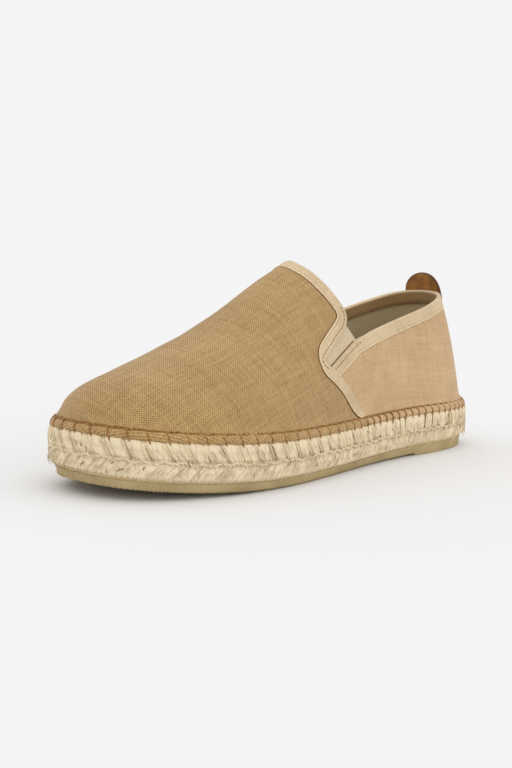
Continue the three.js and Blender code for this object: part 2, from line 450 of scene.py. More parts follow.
def clothMaterial(name, light, dark, pitch, look):
    # a plain weave on a UV map laid out in millimetres
    material, tree, shader = makeMaterial(name, 0.92)
    uv = addNode(tree, "ShaderNodeUVMap", {"uv_map": "weave"}).outputs[0]
    wobble = addNode(tree, "ShaderNodeTexNoise", None, Vector=uv, Scale=0.35, Detail=1.0).outputs["Color"]
    shifted = addNode(tree, "ShaderNodeVectorMath", {"operation": "MULTIPLY_ADD"}, i0=wobble,
                      i1=(look["wobble"],) * 3, i2=uv).outputs[0]
    parts = addNode(tree, "ShaderNodeSeparateXYZ", None, Vector=shifted)
    waves = [mathNode(tree, "SINE", mathNode(tree, "MULTIPLY", axis, math.pi / pitch))
             for axis in parts.outputs[:2]]
    product = mathNode(tree, "MULTIPLY", waves[0], waves[1])
    raised = mathNode(tree, "MULTIPLY_ADD", mathNode(tree, "MAXIMUM", product, 0.0), 0.65, 0.42)
    height = mathNode(tree, "MULTIPLY_ADD", mathNode(tree, "MINIMUM", product, 0.0), 0.3, raised)
    warp = scaledNoise(tree, shifted, (1 / pitch, 0.05 / pitch, 1), 0.9, 2.0)
    weft = scaledNoise(tree, shifted, (0.05 / pitch, 1 / pitch, 1), 0.9, 2.0)
    slubs = mathNode(tree, "MULTIPLY", mathNode(tree, "ADD", warp, weft), 0.5)
    cloud = scaledNoise(tree, uv, (1, 1, 1), 0.03, 3.0)
    grain = mathNode(tree, "MULTIPLY", height, look["grain"])
    threads = mathNode(tree, "MULTIPLY_ADD", slubs, look["slub"], grain)
    shade = mathNode(tree, "MULTIPLY_ADD", cloud, look["cloud"], threads)
    centred = mathNode(tree, "SUBTRACT", shade, (look["slub"] + look["grain"] + look["cloud"]) / 2 - 0.5)
    color = rampNode(tree, centred, [(0.15, dark), (0.85, light)])
    tree.links.new(color, shader.inputs["Base Color"])
    relief = mathNode(tree, "MULTIPLY_ADD", slubs, 0.8, height)
    addBump(tree, shader, look["bump"], look["relief"] * millimetre, relief)
    shader.inputs["Sheen Weight"].default_value = 0.15
    shader.inputs["Sheen Roughness"].default_value = 0.6
    return material


vampCloth = clothMaterial("vampCanvas", srgb(201, 167, 113), srgb(125, 90, 43), 0.68, {
    "wobble": 0.7, "slub": 0.9, "grain": 0.68, "cloud": 0.22, "bump": 0.8, "relief": 0.22})
quarterCloth = clothMaterial("quarterCanvas", srgb(216, 184, 140), srgb(162, 127, 84), 0.68, {
    "wobble": 0.5, "slub": 0.8, "grain": 0.4, "cloud": 0.5, "bump": 0.6, "relief": 0.14})
tapeCloth = clothMaterial("bindingTape", srgb(236, 214, 178), srgb(168, 140, 100), 0.55, {
    "wobble": 0.3, "slub": 0.7, "grain": 0.6, "cloud": 0.5, "bump": 0.8, "relief": 0.2})
liningCloth = clothMaterial("lining", srgb(210, 192, 154), srgb(172, 152, 112), 0.5, {
    "wobble": 0.3, "slub": 0.6, "grain": 0.3, "cloud": 0.5, "bump": 0.4, "relief": 0.1})
elasticCloth = clothMaterial("elastic", srgb(222, 204, 172), srgb(186, 166, 132), 0.6, {
    "wobble": 0.1, "slub": 0.5, "grain": 0.4, "cloud": 0.2, "bump": 0.8, "relief": 0.3})
sockCloth = clothMaterial("sock", srgb(196, 182, 156), srgb(160, 144, 116), 0.6, {
    "wobble": 0.3, "slub": 0.5, "grain": 0.4, "cloud": 0.5, "bump": 0.4, "relief": 0.1})


def threadMaterial(name, light, dark):
    material, tree, shader = makeMaterial(name, 0.6)
    coordinates = addNode(tree, "ShaderNodeTexCoord").outputs["Object"]
    noise = scaledNoise(tree, coordinates, (1, 1, 1), 900, 2.0)
    tree.links.new(rampNode(tree, noise, [(0.3, dark), (0.7, light)]), shader.inputs["Base Color"])
    addBump(tree, shader, 0.5, 0.0001, noise)
    return material


# the facing is the tape's cloth in a darker colour: painted shade inside the collar
facingShadedCloth = clothMaterial("facing", srgb(176, 142, 94), srgb(130, 97, 58), 0.6, {
    "wobble": 0.3, "slub": 0.7, "grain": 0.4, "cloud": 0.5, "bump": 0.5, "relief": 0.12})
waxedThread = threadMaterial("waxedThread", srgb(176, 130, 72), srgb(112, 73, 32))
# brown thread serves the gusset stitches and also the dark cords of painted shadow beside the tapes
brownThreadAndShadow = threadMaterial("brownThreadAndShadow", srgb(130, 92, 50), srgb(84, 56, 26))
fleckFibre = threadMaterial("fleckFibre", srgb(120, 84, 44), srgb(70, 44, 20))
paleThread = threadMaterial("paleThread", srgb(214, 184, 142), srgb(170, 136, 92))
# the pale edge thread is a painted highlight on the tapes' raised edges
edgeHighlightThread = threadMaterial("edgeHighlightThread", srgb(242, 224, 192), srgb(214, 190, 150))


def juteMaterial(name, light, dark, gapShadeColor):
    material, tree, shader = makeMaterial(name, 0.95)
    uv = addNode(tree, "ShaderNodeUVMap", {"uv_map": "weave"}).outputs[0]
    fine = scaledNoise(tree, uv, (5.5, 0.35, 1), 1.0, 4.0, 0.6)
    coarse = scaledNoise(tree, uv, (1.4, 0.12, 1), 1.0, 2.0)
    fibres = mathNode(tree, "MULTIPLY_ADD", coarse, 0.5, mathNode(tree, "MULTIPLY", fine, 0.5))
    body = rampNode(tree, fibres, [(0.32, dark), (0.52, light)])
    # specks in the gap colour are painted shade of gaps between fibres, laid by noise
    specks = scaledNoise(tree, uv, (0.9, 0.16, 1), 0.9, 1.0)
    gapShadeMarks = mathNode(tree, "MULTIPLY", mathNode(tree, "GREATER_THAN", specks, 0.70), 0.35)
    marked = mixColor(tree, gapShadeMarks, body, gapShadeColor)
    tree.links.new(marked, shader.inputs["Base Color"])
    addBump(tree, shader, 0.9, 0.0006, fibres)
    return material


# the last colour of each jute is painted shade for the gaps between fibres
juteFibre = juteMaterial("juteFibre", srgb(238, 221, 189), srgb(190, 161, 115), srgb(130, 96, 54))
# the core is a darker copy of the strands' jute: painted shade for the depths seen between strands
juteCoreShaded = juteMaterial("juteCore", srgb(222, 196, 150), srgb(176, 144, 98), srgb(120, 88, 50))


def rubberMaterial():
    material, tree, shader = makeMaterial("rubber", 0.72)
    coordinates = addNode(tree, "ShaderNodeTexCoord").outputs["Object"]
    cloud = scaledNoise(tree, coordinates, (1, 1, 1), 60, 3.0)
    pits = scaledNoise(tree, coordinates, (1, 1, 1), 1200, 2.0)
    color = rampNode(tree, cloud, [(0.3, srgb(164, 144, 102)), (0.7, srgb(192, 172, 128))])
    tree.links.new(color, shader.inputs["Base Color"])
    addBump(tree, shader, 0.3, 0.0003, pits)
    return material


def leatherMaterial():
    material, tree, shader = makeMaterial("leather", 0.5)
    coordinates = addNode(tree, "ShaderNodeTexCoord").outputs["Object"]
    cloud = scaledNoise(tree, coordinates, (1, 1, 1), 160, 3.0)
    cells = addNode(tree, "ShaderNodeTexVoronoi", None, Vector=coordinates, Scale=1400.0).outputs["Distance"]
    body = rampNode(tree, cloud, [(0.3, srgb(132, 86, 42)), (0.7, srgb(178, 122, 64))])
    edge = addNode(tree, "ShaderNodeAttribute", {"attribute_name": "edge"}).outputs["Fac"]
    color = mixColor(tree, edge, body, srgb(70, 42, 20))
    tree.links.new(color, shader.inputs["Base Color"])
    addBump(tree, shader, 0.35, 0.0003, cells)
    return material


rubber = rubberMaterial()
leather = leatherMaterial()
print("materials made")

# Lines of the pattern in the side view, as (back from the heel, up, rounding)

# the vamp's edge, from the hem up the seam, round the notch, and up beside the gusset to the ridge
vampEdgeRows = [(119.5, 22, 0), (132, 36, 8), (141.5, 46.2, 5), (151.5, 53.4, 2.5), (158, 57.2, 2.5),
                (132.2, 74.0, 4), (129.2, 80.5, 4), (137.5, 96.5, 9), (142.2, 104.5, 0), (144, 118, 0)]
# the quarter's front edge, from under the vamp to the collar
frontEdgeRows = [(154.0, 51.4, 0), (124.9, 66.2, 2.5), (110, 69.9, 0)]
gussetRows = [(121.5, 65.5), (122.5, 59), (157.5, 44.5), (167.5, 57), (136.5, 77.5), (131.5, 76.0),
              (124.6, 66.6)]

vampEdge = roundedLine(vampEdgeRows)


def sideToWrap(back, up, side):
    # the place on the outer face with that side view, ahead of where the heel leans
    turn = np.arccos(1 - (back - shoe["wallInset"]) / (half - shoe["wallInset"]))
    rise = up - hemTop(back / shoe["length"])
    crest = crestCurve(turn) * toeTaper(turn)
    lift = np.arcsin(np.clip(rise / crest, 0, 1) ** (roundnessAt(turn) / 2))
    return turn, lift if side > 0 else math.pi - lift


def collarHeight(share):
    towardsHeel = np.clip((collar["frontAt"] - share) / collar["frontAt"], 0, 1)
    climb = collar["backHeight"] - collar["frontHeight"]
    return collar["frontHeight"] + climb * towardsHeel ** collar["bend"]


def collarRun():
    # from under the outer notch up the quarter's front edge, round the heel and down to the inner notch
    front = evenly(roundedLine(frontEdgeRows), 1.0)
    front = front[front[:, 0] > 112]
    sides = []
    for side in (1, -1):
        turn, wrap = sideToWrap(front[:, 0], front[:, 1], side)
        turns = np.linspace(turn[-1], 0, 120)[1:]
        travel = shoe["wallInset"] + (half - shoe["wallInset"]) * (1 - np.cos(turns))
        rise = collarHeight((1 - np.cos(turns)) / 2) - hemTop(travel / shoe["length"])
        lift = np.arcsin(np.clip(rise / crestCurve(turns), 0, 1) ** (roundnessAt(turns) / 2))
        rim = upperFace(turns, lift if side > 0 else math.pi - lift, 0)
        sides.append(np.concatenate([upperFace(turn, wrap, 0), rim]))
    return softened(evenly(np.concatenate([sides[0], sides[1][::-1][1:]]), 0.9), 3)


def vampRun():
    # from the outer hem up the seam and the gusset's side, over the ridge and down to the inner hem
    line = evenly(vampEdge[vampEdge[:, 1] < 88], 0.7)
    line = line[line[:, 1] > hemTop(line[:, 0] / shoe["length"]) - 0.3]
    sides = []
    for side in (1, -1):
        turn, wrap = sideToWrap(line[:, 0], line[:, 1], side)
        sides.append((upperFace(turn, wrap, 0), float(wrap[-1])))
    upper = vampEdge[vampEdge[:, 1] > 80]
    ridge = []
    for wrap in np.linspace(sides[0][1], sides[1][1], 300)[1:-1]:
        up = 92.0
        for _ in range(60):
            back = np.interp(up, upper[:, 1], upper[:, 0])
            turn = math.acos(1 - (back - shoe["wallInset"]) / (half - shoe["wallInset"]))
            point = upperFace(turn, np.array(wrap), 0)
            up += (float(point[2]) - up) * 0.5
        ridge.append(point)
    return softened(evenly(np.concatenate([sides[0][0], np.array(ridge), sides[1][0][::-1]]), 0.8), 2)


# A dense untrimmed skin, for laying tapes and stitches on

skinTurns = np.linspace(0, math.pi, 421)
skinWraps = np.linspace(0, math.pi, 261)
skinGrid = upperFace(skinTurns[:, None], skinWraps[None, :], 0)
skinTree = BVHTree.FromPolygons([Vector(p) for p in skinGrid.reshape(-1, 3)],
                                gridFaces(len(skinTurns), len(skinWraps)))


def outward(point, normal):
    # the skin's normal, turned away from the shoe's middle
    turn = math.acos(max(-1, min(1, point[1] / half)))
    hub = Vector((float(centreLine(turn)), point[1] * 0.86, 34))
    return normal if normal.dot(Vector(point) - hub) > 0 else -normal


def onSkin(point):
    place, normal, _, _ = skinTree.find_nearest(Vector(point))
    return np.array(place), np.array(outward(place, normal))


def unit(rows):
    return rows / np.maximum(np.linalg.norm(rows, axis=-1, keepdims=True), 1e-9)


def pathFrames(path, inwards):
    # at each point: its place on the skin, the skin's normal, and the way into the cloth
    places, normals = zip(*[onSkin(p) for p in path])
    places, normals = np.array(places), unit(softened(np.array(normals), 6))
    tangents = softened(np.gradient(places, axis=0), 2)
    return places, normals, unit(np.cross(normals, tangents)) * inwards


def laidOn(frames, reach, over):
    # a line beside the path, reach into the cloth and over its surface; reach may vary along the path
    reach = np.broadcast_to(reach, len(frames[0]))
    row = []
    for place, normal, way, far in zip(*frames, reach):
        if far <= 0:
            row.append(place + way * far + normal * over)
            continue
        spot, up = onSkin(place + way * far)
        blend = min(1, far / 3)
        lean = up * blend + normal * (1 - blend)
        row.append(spot + lean / np.linalg.norm(lean) * over)
    # far rows bunch up in the corners, so they are softened more
    return softened(np.array(row), 2 + int(4 * np.max(reach)) if np.max(reach) > 2 else 2)


def stripMesh(name, rows, around, along, material):
    uvs = [(a, b) for b in around for a in along]
    return makeObject(name, np.concatenate(rows), gridFaces(len(rows), len(rows[0])), material, uvs)


def recalculate(piece):
    work = bmesh.new()
    work.from_mesh(piece.data)
    bmesh.ops.remove_doubles(work, verts=work.verts, dist=1e-7)
    bmesh.ops.recalc_face_normals(work, faces=work.faces)
    work.to_mesh(piece.data)
    work.free()
    piece.data.update()
    return piece


def finished(piece, slot, *nodes):
    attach(piece, "root")
    if nodes:
        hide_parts(*nodes)
    return piece


# Canvas panels

panel = {"wraps": 168, "pucker": 0.30, "puckerHeight": 5.0, "hemBulge": 0.5, "thick": 0.9,
         "quarterDrop": 0.3}

# the hem band below the stitch line: (inset from the sole's edge, height over the stitch line)
bandRows = [(3.6, -4.2), (1.9, -4.55), (1.15, -3.9), (1.05, -3.0), (1.35, -2.0), (2.0, -1.1), (2.9, -0.45)]

# creases: (back, up, half length, tilt in degrees, half width, depth); depth > 0 is a trough
creaseRows = [
    (205, 50, 26, 82, 8, 0.45),
    (218, 45, 22, 78, 7, -0.35),
    (175, 64, 20, 38, 9, 0.4),
    (104, 48, 24, 74, 6, 0.45),
    (96, 46, 22, 76, 5, -0.4),
    (60, 55, 22, 62, 8, 0.4),
    (40, 48, 18, 74, 7, -0.3),
]


def softHill(distance, width):
    return np.exp(-(distance / width) ** 2)


def creaseHeight(points):
    height = np.zeros(points.shape[:2])
    back = half - points[:, :, 1]
    up = points[:, :, 2]
    for centreBack, centreUp, reach, tilt, width, depth in creaseRows:
        turn = math.radians(tilt)
        along = (back - centreBack) * math.cos(turn) + (up - centreUp) * math.sin(turn)
        across = -(back - centreBack) * math.sin(turn) + (up - centreUp) * math.cos(turn)
        height -= depth * softHill(across, width) * softHill(along, reach)
    return height


def gridNormals(grid):
    normals = unit(np.cross(np.gradient(grid, axis=0), np.gradient(grid, axis=1)))
    middle = grid.mean(axis=1, keepdims=True) * np.array([1, 0.9, 0]) + np.array([0, 0, 34])
    flip = np.sign(np.sum(normals * (grid - middle), axis=2, keepdims=True))
    return normals * np.where(flip == 0, 1, flip)


def panelGrid(turns, wraps, out):
    # hem rows from the band's foot up, then the wall over the ridge, then the inner hem down
    turns = np.asarray(turns)[:, None]
    wall = upperFace(turns, wraps[None, :], out)
    place = rimPlace(turns, wraps[None, :])
    rise = wall[:, :, 2] - hemTop((half - wall[:, :, 1]) / shoe["length"])
    fade = np.exp(-np.clip(rise, 0, None) / panel["puckerHeight"])
    gather = panel["pucker"] * (betweenStitches(place) - 0.55) * fade
    wall = wall + gridNormals(wall) * (gather + creaseHeight(wall))[:, :, None]
    lower = []
    for wrap in (0.0, math.pi):
        side = 1.0 if wrap == 0 else -1.0
        puff = betweenStitches(rimPlace(turns, np.array([[wrap]]))) ** 0.6
        rows = []
        for inset, drop in bandRows:
            swell = panel["hemBulge"] * puff * (drop > -4.1)
            fall = drop - 0.35 * (puff - 0.5) * (drop < -3.5)
            level = soleEdge(turns, side, inset - out - swell, hemTop)
            rows.append(level + np.stack([0 * fall, 0 * fall, fall], -1))
        lower.append(np.concatenate(rows, axis=1))
    return np.concatenate([lower[0], wall, lower[1][:, ::-1]], axis=1)


def panelUvs(grid):
    along = lengthsAlong(grid[:, grid.shape[1] // 4])
    steps = np.linalg.norm(np.diff(grid, axis=1), axis=2)
    around = np.concatenate([np.zeros((len(grid), 1)), np.cumsum(steps, axis=1)], axis=1)
    around -= around[:, [grid.shape[1] // 2]]
    return np.stack([np.broadcast_to(along[:, None], around.shape), around], -1)


def flatPattern(grid, step):
    # lays a grid of points out flat with the least stretch, in millimetres, the ridge along U
    rows = np.unique(np.append(np.arange(0, grid.shape[0], step), grid.shape[0] - 1))
    columns = np.unique(np.append(np.arange(0, grid.shape[1], step), grid.shape[1] - 1))
    coarse = grid[np.ix_(rows, columns)]
    target = [np.linalg.norm(np.diff(coarse, axis=axis), axis=2) for axis in (0, 1)]
    diagonal = [np.linalg.norm(coarse[1:, 1:] - coarse[:-1, :-1], axis=2),
                np.linalg.norm(coarse[1:, :-1] - coarse[:-1, 1:], axis=2)]
    flat = panelUvs(coarse)
    flat[:, :, 1] *= 0.9
    pairs = [((slice(1, None), slice(None)), (slice(None, -1), slice(None)), target[0]),
             ((slice(None), slice(1, None)), (slice(None), slice(None, -1)), target[1]),
             ((slice(1, None), slice(1, None)), (slice(None, -1), slice(None, -1)), diagonal[0]),
             ((slice(1, None), slice(None, -1)), (slice(None, -1), slice(1, None)), diagonal[1])]
    for _ in range(3000):
        push = np.zeros_like(flat)
        weight = np.full(flat.shape[:2], 1e-3)
        for ahead, behind, length in pairs:
            run = flat[ahead] - flat[behind]
            now = np.maximum(np.linalg.norm(run, axis=2), 1e-6)
            shift = run * ((length - now) / now / 2)[:, :, None]
            push[ahead] += shift
            push[behind] -= shift
            weight[ahead] += 1
            weight[behind] += 1
        flat += push / weight[:, :, None] * 1.4
    tall, wide = np.arange(grid.shape[0]), np.arange(grid.shape[1])
    lengthened = np.stack([[np.interp(tall, rows, flat[:, j, k]) for j in range(len(columns))]
                           for k in (0, 1)], -1)
    return np.stack([[np.interp(wide, columns, lengthened[:, i, k]) for i in tall] for k in (0, 1)], -1)


def denseWraps():
    near = np.array([0.008, 0.02, 0.04])
    return np.unique(np.concatenate([np.linspace(0, math.pi, panel["wraps"] + 1), near, math.pi - near]))


def vampOutline():
    foot, top = vampEdge[0][0], vampEdge[-1][0]
    return [(foot, -10), *vampEdge, (top, 160), (400, 160), (400, -10)]


def quarterOutline():
    turns = np.linspace(math.acos(1 - 2 * 0.40), 0, 60)
    travel = shoe["wallInset"] + (half - shoe["wallInset"]) * (1 - np.cos(turns))
    up = collarHeight((1 - np.cos(turns)) / 2)
    rise = up - hemTop(travel / shoe["length"])
    back = travel + shoe["heelLean"] * rise / shoe["leanHeight"] * leanFade(travel)
    front = roundedLine([(157.5, 49.6, 0), *frontEdgeRows])
    seam = [(row[0] + 2.5, row[1]) for row in vampEdge if row[1] < 49]
    rim = [tuple(r) for r in np.stack([back, up], 1)]
    return [(seam[0][0], -10), *seam, *map(tuple, front), *rim, (-60, collar["backHeight"]), (-60, -10)]


def thicken(piece, thick):
    shell = piece.modifiers.new("thickness", "SOLIDIFY")
    shell.thickness = thick * millimetre
    shell.offset = -1
    return piece


def cutPiece(name, grid, field, material, thick, uvs=None):
    uvs = panelUvs(grid) if uvs is None else uvs
    flat = np.concatenate([grid.reshape(-1, 3), uvs.reshape(-1, 2)], axis=1)
    points, faces = cutMesh(flat, gridFaces(grid.shape[0], grid.shape[1]), field(flat[:, :3]))
    return thicken(recalculate(makeObject(name, points[:, :3], faces, material, points[:, 3:])), thick)


def outlineField(outline):
    return lambda points: sideField(points, outline)


def turnsBetween(first, last, count):
    return np.linspace(math.acos(1 - 2 * first), math.acos(1 - 2 * last), count)


inside = {"liningDepth": 1.3, "liningThick": 0.5, "gussetDepth": 1.15, "gussetThick": 0.7, "ribPitch": 1.1,
          "ribDepth": 0.025}
vampGrid = panelGrid(turnsBetween(0.40, 1, 230), denseWraps(), 0)
vamp = cutPiece("vamp", vampGrid, outlineField(vampOutline()), vampCloth, panel["thick"],
                flatPattern(vampGrid, 6))
quarterGrid = panelGrid(turnsBetween(0, 0.60, 210), denseWraps(), -panel["quarterDrop"])
quarter = cutPiece("quarter", quarterGrid, outlineField(quarterOutline()), quarterCloth, panel["thick"])
liningTurns = np.linspace(0, math.pi, 240)
liningGrid = upperFace(liningTurns[:, None], np.linspace(0, math.pi, 121)[None, :], -inside["liningDepth"])


def liningField(points):
    field = np.maximum(sideField(points, vampOutline()), sideField(points, quarterOutline()))
    back = half - points[:, 1]
    return np.where((back > 126) & (back < 158) & (points[:, 2] < 52), 5.0, field)


lining = cutPiece("lining", liningGrid, liningField, liningCloth, inside["liningThick"])


def makeGusset(name, side):
    turns = turnsBetween(0.36, 0.64, 70)
    wraps = np.linspace(0.15, 1.45, 90)
    wraps = wraps if side > 0 else math.pi - wraps[::-1]
    grid = upperFace(turns[:, None], wraps[None, :], -inside["gussetDepth"])
    ribs = np.sin(panelUvs(grid)[:, :, 1] * 2 * math.pi / inside["ribPitch"]) * inside["ribDepth"]
    grid = grid + gridNormals(grid) * ribs[:, :, None]
    return cutPiece(name, grid, outlineField(gussetRows), elasticCloth, inside["gussetThick"])


finished(vamp, "canvas", "upper")
finished(quarter, "canvas")
finished(lining, "sock")
finished(makeGusset("gussetOuter", 1), "elastic", "gusset_outer")
finished(makeGusset("gussetInner", -1), "elastic", "gusset_inner")
print("panels cut", len(vamp.data.polygons), len(quarter.data.polygons))

# Binding tape, with its fold over the cut edge

tape = {"width": 6.2, "seamWidth": 5.7, "thick": 0.5, "insideWidth": 6.5, "wall": 1.8}


def tapePiece(name, frames, width, drop, material):
    outer = tape["thick"] - drop
    inner = -tape["wall"] - tape["thick"]
    middle, depth = (outer + inner) / 2, (outer - inner) / 2
    rows = [laidOn(frames, width, -0.25)]
    around = [0.0]
    for share in (1, 0.96, 0.9, 0.72, 0.5, 0.28, 0.14, 0.05):
        edge = 0.22 if share == 1 else 0
        ridge = 0.12 * softHill(share - 0.93, 0.05)
        rows.append(laidOn(frames, np.maximum(width * share, 0.05), outer - edge + ridge))
        around.append(around[-1] + tape["width"] / 7)
    for a in np.linspace(0.3, math.pi - 0.3, 6):
        rows.append(laidOn(frames, -0.3 - 0.7 * math.sin(a), middle + depth * math.cos(a)))
        around.append(around[-1] + 0.5)
    for far in (0.3, 3, tape["insideWidth"]):
        rows.append(laidOn(frames, far, inner))
        around.append(around[-1] + 1.5)
    rows.append(laidOn(frames, tape["insideWidth"], -tape["wall"] + 0.3))
    around.append(around[-1] + 0.5)
    return recalculate(stripMesh(name, rows, around, lengthsAlong(frames[0]), material))


collarFrames = pathFrames(collarRun(), -1)
vampFrames = pathFrames(vampRun(), 1)
vampWidth = tape["seamWidth"] + (tape["width"] - tape["seamWidth"]) * smoothRamp(vampFrames[0][:, 2], 50, 58)
collarWidth = np.full(len(collarFrames[0]), tape["width"])
finished(tapePiece("collarBinding", collarFrames, collarWidth, 0.3, tapeCloth), "binding")
finished(tapePiece("vampBinding", vampFrames, vampWidth, 0, tapeCloth), "binding")


def facingStrip():
    # the band inside the collar: the tape's cloth, coloured darker as painted shade
    places = ((0.0, -2.42), (2, -2.44), (4.5, -2.44), (7, -2.4), (7.2, -2.1))
    rows = [laidOn(collarFrames, far, over) for far, over in places]
    return recalculate(stripMesh("collarFacing", rows, [0, 2, 4.5, 7, 7.4], lengthsAlong(collarFrames[0]),
                                 facingShadedCloth))


finished(facingStrip(), "binding")
print("binding laid")

# Geometry Nodes: strands swept along lines, and stitches set along them


def newTree(name, inputs):
    tree = bpy.data.node_groups.new(name, "GeometryNodeTree")
    face = tree.interface
    face.new_socket("Geometry", in_out="INPUT", socket_type="NodeSocketGeometry")
    for label, kind, value in inputs:
        socket = face.new_socket(label, in_out="INPUT", socket_type="NodeSocket" + kind)
        if value is not None:
            socket.default_value = value
    face.new_socket("Geometry", in_out="OUTPUT", socket_type="NodeSocketGeometry")
    return tree, tree.nodes.new("NodeGroupInput").outputs, tree.nodes.new("NodeGroupOutput").inputs


def namedValue(tree, name, kind="FLOAT_VECTOR"):
    return addNode(tree, "GeometryNodeInputNamedAttribute", {"data_type": kind}, Name=name).outputs[0]


def facedCurves(tree, geometry):
    curves = addNode(tree, "GeometryNodeMeshToCurve", None, Mesh=geometry).outputs[0]
    return addNode(tree, "GeometryNodeSetCurveNormal", {"mode": "FREE"}, Curve=curves,
                   Normal=namedValue(tree, "facing")).outputs[0]


def captured(tree, geometry, value):
    node = addNode(tree, "GeometryNodeCaptureAttribute")
    node.capture_items.new("FLOAT", "kept")
    tree.links.new(geometry, node.inputs[0])
    tree.links.new(value, node.inputs[1])
    return node.outputs[0], node.outputs[1]


def closeTree(tree, geometry, material, result):
    real = addNode(tree, "GeometryNodeRealizeInstances", None, Geometry=geometry).outputs[0]
    painted = addNode(tree, "GeometryNodeSetMaterial", None, Geometry=real, Material=material).outputs[0]
    tree.links.new(painted, result[0])
    return tree


def makeSweepTree():
    # a ribbed oval section along each line; the attribute size scales it, facing turns it
    tree, given, result = newTree("sweptStrands", [
        ("Sides", "Int", 20), ("Width", "Float", 1.0), ("Depth", "Float", 1.0), ("Ribs", "Float", 9.0),
        ("Rib Depth", "Float", 0.0), ("Material", "Material", None)])
    curves, along = captured(tree, facedCurves(tree, given["Geometry"]),
                             addNode(tree, "GeometryNodeSplineParameter").outputs["Length"])
    circle = addNode(tree, "GeometryNodeCurvePrimitiveCircle", None, Resolution=given["Sides"],
                     Radius=0.5).outputs[0]
    factor = addNode(tree, "GeometryNodeSplineParameter").outputs["Factor"]
    profile, share = captured(tree, circle, factor)
    angle = mathNode(tree, "MULTIPLY", share, 2 * math.pi)
    ribs = mathNode(tree, "SINE", mathNode(tree, "MULTIPLY", angle, given["Ribs"]))
    swell = mathNode(tree, "MULTIPLY_ADD", ribs, given["Rib Depth"], -0.5)
    across = mathNode(tree, "MULTIPLY", mathNode(tree, "MULTIPLY", mathNode(tree, "COSINE", angle), swell),
                      given["Depth"])
    wide = mathNode(tree, "MULTIPLY", mathNode(tree, "MULTIPLY", mathNode(tree, "SINE", angle), swell),
                    given["Width"])
    place = addNode(tree, "ShaderNodeCombineXYZ", None, X=across, Y=wide).outputs[0]
    profile = addNode(tree, "GeometryNodeSetPosition", None, Geometry=profile, Position=place).outputs[0]
    mesh = addNode(tree, "GeometryNodeCurveToMesh", None, i0=curves, i1=profile,
                   i2=namedValue(tree, "size", "FLOAT"), i3=True).outputs[0]
    around = mathNode(tree, "MULTIPLY", mathNode(tree, "MULTIPLY", share, given["Width"]), 4000.0)
    lengthways = mathNode(tree, "MULTIPLY", along, 1000.0)
    uv = addNode(tree, "ShaderNodeCombineXYZ", None, X=around, Y=lengthways).outputs[0]
    stored = addNode(tree, "GeometryNodeStoreNamedAttribute", {"data_type": "FLOAT2", "domain": "CORNER"},
                     Geometry=mesh, Name="weave", Value=uv).outputs[0]
    return closeTree(tree, stored, given["Material"], result)


def makeStitchTree():
    # short stitches laid along each line, pitch apart
    tree, given, result = newTree("stitchRow", [("Pitch", "Float", 0.002), ("Length", "Float", 0.0014),
                                                ("Thread", "Float", 0.0004), ("Material", "Material", None)])
    curves = facedCurves(tree, given["Geometry"])
    spaced = addNode(tree, "GeometryNodeResampleCurve", {"mode": "LENGTH"}, Curve=curves,
                     Length=given["Pitch"])
    grain = addNode(tree, "GeometryNodeMeshUVSphere", None, Segments=8, Rings=6, Radius=0.5).outputs[0]
    size = addNode(tree, "ShaderNodeCombineXYZ", None, X=given["Thread"], Y=given["Thread"],
                   Z=given["Length"]).outputs[0]
    grain = addNode(tree, "GeometryNodeTransform", None, Geometry=grain, Scale=size).outputs[0]
    turn = addNode(tree, "FunctionNodeAxesToRotation", {"primary_axis": "Z", "secondary_axis": "X"},
                   i0=addNode(tree, "GeometryNodeInputTangent").outputs[0],
                   i1=namedValue(tree, "facing")).outputs[0]
    placed = addNode(tree, "GeometryNodeInstanceOnPoints", None, Points=spaced.outputs[0], Instance=grain,
                     Rotation=turn).outputs[0]
    return closeTree(tree, placed, given["Material"], result)


sweepTree = makeSweepTree()
stitchTree = makeStitchTree()


def linesObject(name, lines):
    # lines hold (points, facing, size, shade); sizes may be single numbers
    points, edges, facing, size, shade = [], [], [], [], []
    for line, normals, scale, tone in lines:
        base = len(points)
        points.extend(inMetres(line).tolist())
        edges.extend((base + k, base + k + 1) for k in range(len(line) - 1))
        facing.extend(np.broadcast_to(normals, (len(line), 3)).tolist())
        size.extend(np.broadcast_to(scale, len(line)).tolist())
        shade.extend([tone] * len(line))
    mesh = bpy.data.meshes.new(name)
    mesh.from_pydata(points, edges, [])
    columns = [("facing", "FLOAT_VECTOR", "vector", facing), ("size", "FLOAT", "value", size),
               ("shade", "FLOAT", "value", shade)]
    for label, kind, field, values in columns:
        layer = mesh.attributes.new(label, kind, "POINT")
        layer.data.foreach_set(field, np.asarray(values, np.float32).ravel())
    piece = bpy.data.objects.new(name, mesh)
    bpy.context.scene.collection.objects.link(piece)
    return piece


def grown(name, lines, tree, settings):
    host = linesObject(name + "Lines", lines)
    modifier = host.modifiers.new("nodes", "NODES")
    modifier.node_group = tree
    for item in tree.interface.items_tree:
        if item.in_out == "INPUT" and item.name in settings:
            modifier[item.identifier] = settings[item.name]
    graph = bpy.context.evaluated_depsgraph_get()
    mesh = bpy.data.meshes.new_from_object(host.evaluated_get(graph))
    mesh.name = name
    mesh.materials.clear()
    mesh.materials.append(settings["Material"])
    mesh.polygons.foreach_set("use_smooth", [True] * len(mesh.polygons))
    bpy.data.objects.remove(host)
    piece = bpy.data.objects.new(name, mesh)
    bpy.context.scene.collection.objects.link(piece)
    return piece


# Braid and hem thread, all laid by their place round the rim

braid = {"middle": 9.2, "upperPitch": 1.25, "lowerPitch": 1.25, "sides": 10}
chance = random.Random(7)


